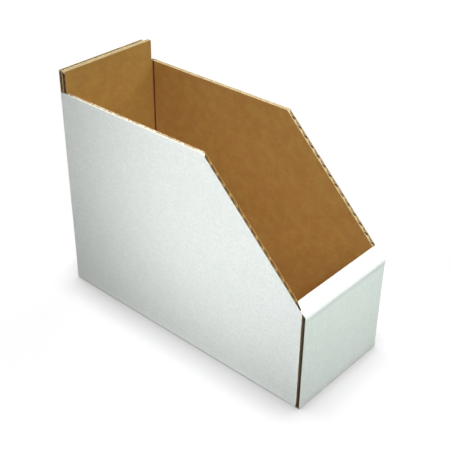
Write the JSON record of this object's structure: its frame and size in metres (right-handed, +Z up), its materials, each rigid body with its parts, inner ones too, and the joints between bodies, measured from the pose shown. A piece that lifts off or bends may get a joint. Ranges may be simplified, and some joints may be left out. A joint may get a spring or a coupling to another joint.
{
  "type": "magazine file holder",
  "caption": "Open-topped corrugated magazine file holder with sloping side edges, a low rolled front and a tall double back; its creased panels fold open.",
  "frame": {"origin": "middle of the footprint, on the surface the holder stands on", "axes": "+X to the right seen from the front, +Y from the low front to the tall back, +Z up"},
  "size_m": [0.1206, 0.3048, 0.241],
  "materials": {
    "white_liner": "matt, clay-white outer liner",
    "kraft_liner": "matt brown kraft liner",
    "fluted_medium": "matt tan fluted paper",
    "tab_board": "matt board, white on the inside face"
  },
  "bodies": {
    "base": {"base_outer_liner": "white_liner", "base_fluting": "fluted_medium", "base_inner_liner": "kraft_liner"},
    "left_side": {"left_side_outer_liner": "white_liner", "left_side_fluting": "fluted_medium", "left_side_inner_liner": "kraft_liner"},
    "right_side": {"right_side_outer_liner": "white_liner", "right_side_fluting": "fluted_medium", "right_side_inner_liner": "kraft_liner"},
    "outer_back_flap": {"outer_back_flap_outer_liner": "white_liner", "outer_back_flap_fluting": "fluted_medium", "outer_back_flap_inner_liner": "kraft_liner"},
    "inner_back_flap": {"inner_back_flap_outer_liner": "white_liner", "inner_back_flap_fluting": "fluted_medium", "inner_back_flap_inner_liner": "kraft_liner"},
    "front_panel": {"front_panel_outer_liner": "white_liner", "front_panel_fluting": "fluted_medium", "front_panel_inner_liner": "kraft_liner"},
    "front_roll": {"front_roll_outer_liner": "white_liner", "front_roll_fluting": "fluted_medium", "front_roll_inner_liner": "kraft_liner"},
    "front_inner": {"front_inner_outer_liner": "white_liner", "front_inner_fluting": "fluted_medium", "front_inner_inner_liner": "kraft_liner", "left_lock_tab": "tab_board", "right_lock_tab": "tab_board"},
    "left_tuck_flap": {"left_tuck_flap_outer_liner": "white_liner", "left_tuck_flap_fluting": "fluted_medium", "left_tuck_flap_inner_liner": "kraft_liner"},
    "right_tuck_flap": {"right_tuck_flap_outer_liner": "white_liner", "right_tuck_flap_fluting": "fluted_medium", "right_tuck_flap_inner_liner": "kraft_liner"}
  },
  "joints": [
    {"name": "left_side_tilt", "type": "hinge", "parent": "base", "child": "left_side", "pos_m": [-0.0603, 0, 0], "axis": [0, -1, 0], "range_deg": [0, 90]},
    {"name": "right_side_tilt", "type": "hinge", "parent": "base", "child": "right_side", "pos_m": [0.0603, 0, 0], "axis": [0, 1, 0], "range_deg": [0, 90]},
    {"name": "outer_back_flap_swing", "type": "hinge", "parent": "left_side", "child": "outer_back_flap", "pos_m": [-0.0603, 0.1524, 0], "axis": [0, 0, 1], "range_deg": [0, 90]},
    {"name": "inner_back_flap_fold", "type": "hinge", "parent": "right_side", "child": "inner_back_flap", "pos_m": [0.0561, 0.1442, 0], "axis": [0, 0, 1], "range_deg": [0, 90]},
    {"name": "front_panel_drop", "type": "hinge", "parent": "base", "child": "front_panel", "pos_m": [0, -0.1524, 0], "axis": [1, 0, 0], "range_deg": [0, 90]},
    {"name": "front_roll_open", "type": "hinge", "parent": "front_panel", "child": "front_roll", "pos_m": [0, -0.1524, 0.1036], "axis": [1, 0, 0], "range_deg": [0, 51.44]},
    {"name": "front_inner_open", "type": "hinge", "parent": "front_roll", "child": "front_inner", "pos_m": [0, -0.14, 0.11349], "axis": [1, 0, 0], "range_deg": [0, 128.58], "deforming": ["left_lock_tab", "right_lock_tab"]},
    {"name": "left_tuck_flap_open", "type": "hinge", "parent": "left_side", "child": "left_tuck_flap", "pos_m": [-0.0603, -0.1482, 0], "axis": [0, 0, -1], "range_deg": [0, 90]},
    {"name": "right_tuck_flap_open", "type": "hinge", "parent": "right_side", "child": "right_tuck_flap", "pos_m": [0.0603, -0.1482, 0], "axis": [0, 0, 1], "range_deg": [0, 90]}
  ],
  "couplings": [
    {"joint": "front_roll_open", "follows": "front_panel_drop", "ratio": 0.57143},
    {"joint": "front_inner_open", "follows": "front_panel_drop", "ratio": 1.4286},
    {"joint": "left_tuck_flap_open", "follows": "front_panel_drop", "ratio": 1},
    {"joint": "right_tuck_flap_open", "follows": "front_panel_drop", "ratio": 1}
  ]
}
